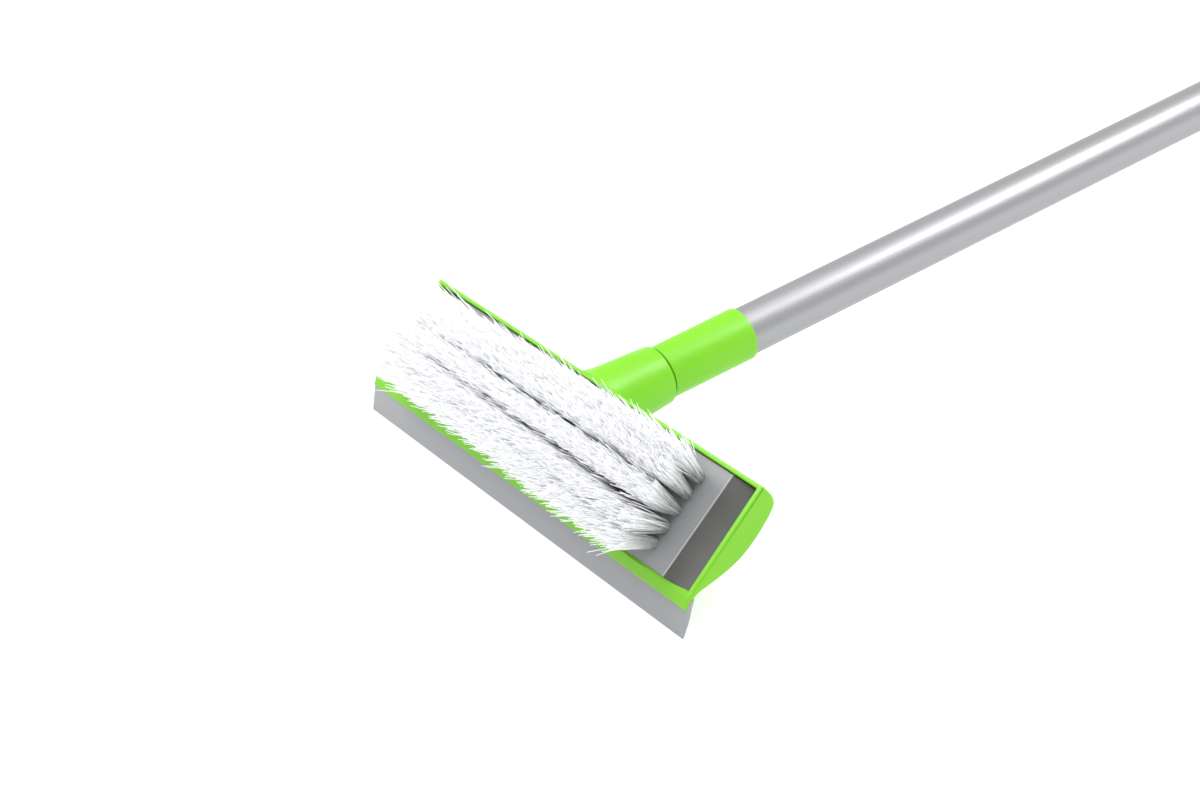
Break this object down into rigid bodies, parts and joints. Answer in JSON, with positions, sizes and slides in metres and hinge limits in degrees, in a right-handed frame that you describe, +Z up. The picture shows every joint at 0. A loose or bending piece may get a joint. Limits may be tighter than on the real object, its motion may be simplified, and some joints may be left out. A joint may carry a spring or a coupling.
{
  "type": "window squeegee with brush and telescopic pole",
  "caption": "Window squeegee head with a rubber blade and a washing brush, screwed on a telescopic twist-lock pole with a ribbed grip and a swivelling hanging eye.",
  "frame": {"origin": "on the ground, under the middle of the object's box, with the object lying on its blade edge and its end cap", "axes": "+X along the head, +Y along the ground from the head towards the grip, +Z up; the pole dips by about one degree towards +Y"},
  "size_m": [0.24, 0.9578, 0.0696],
  "materials": {
    "lime_plastic": "satin",
    "block_plastic": "satin",
    "blade_rubber": "satin",
    "connector_plastic": "satin",
    "rivet_steel": "satin",
    "seal_rubber": "matte",
    "inner_tube_paint": "satin",
    "bush_plastic": "matte",
    "collet_plastic": "matte",
    "nut_plastic": "satin",
    "outer_tube_paint": "satin",
    "grip_rubber": "matte",
    "cap_plastic": "satin",
    "eye_plastic": "satin",
    "clip_steel": "satin",
    "bristle": "satin",
    "screw_steel": "satin"
  },
  "bodies": {
    "head": {"head_housing": "lime_plastic", "brush_block": "block_plastic", "bristle_row_1": "bristle", "bristle_row_2": "bristle", "bristle_row_3": "bristle", "bristle_row_4": "bristle", "bristle_row_5": "bristle", "squeegee_blade": "blade_rubber", "block_screw_1": "screw_steel", "block_screw_2": "screw_steel", "block_screw_3": "screw_steel", "block_screw_4": "screw_steel"},
    "washer": {"seal_ring": "seal_rubber"},
    "pole_lower": {"pole_connector": "connector_plastic", "connector_rivet": "rivet_steel", "inner_tube": "inner_tube_paint", "tube_bush": "bush_plastic"},
    "pole_upper": {"outer_tube": "outer_tube_paint", "lock_collet": "collet_plastic", "grip": "grip_rubber", "end_cap": "cap_plastic"},
    "twist_nut": {"lock_nut": "nut_plastic"},
    "swivel_eye": {"hanging_eye": "eye_plastic", "eye_clip": "clip_steel"}
  },
  "joints": [
    {"name": "neck_advance", "type": "slide", "parent": "head", "child": "washer", "axis": [0, 0.9998, -0.0185], "range_m": [0, 0.015]},
    {"name": "neck_screw", "type": "hinge", "parent": "washer", "child": "pole_lower", "pos_m": [0, -0.38528, 0.03122], "axis": [0, 0.9998, -0.0185], "range_deg": [0, 1080]},
    {"name": "pole_telescope", "type": "slide", "parent": "pole_lower", "child": "pole_upper", "axis": [0, 0.9998, -0.0185], "range_m": [-0.275, 0.085]},
    {"name": "lock_twist", "type": "hinge", "parent": "pole_upper", "child": "twist_nut", "pos_m": [0, -0.02984, 0.02465], "axis": [0, 0.9998, -0.0185], "range_deg": [0, 90]},
    {"name": "eye_swivel", "type": "hinge", "parent": "pole_upper", "child": "swivel_eye", "pos_m": [0, 0.45358, 0.01571], "axis": [0, 0.9998, -0.0185], "continuous": true}
  ],
  "couplings": [
    {"joint": "neck_advance", "follows": "neck_screw", "m_per_rad": 0.00079577}
  ]
}
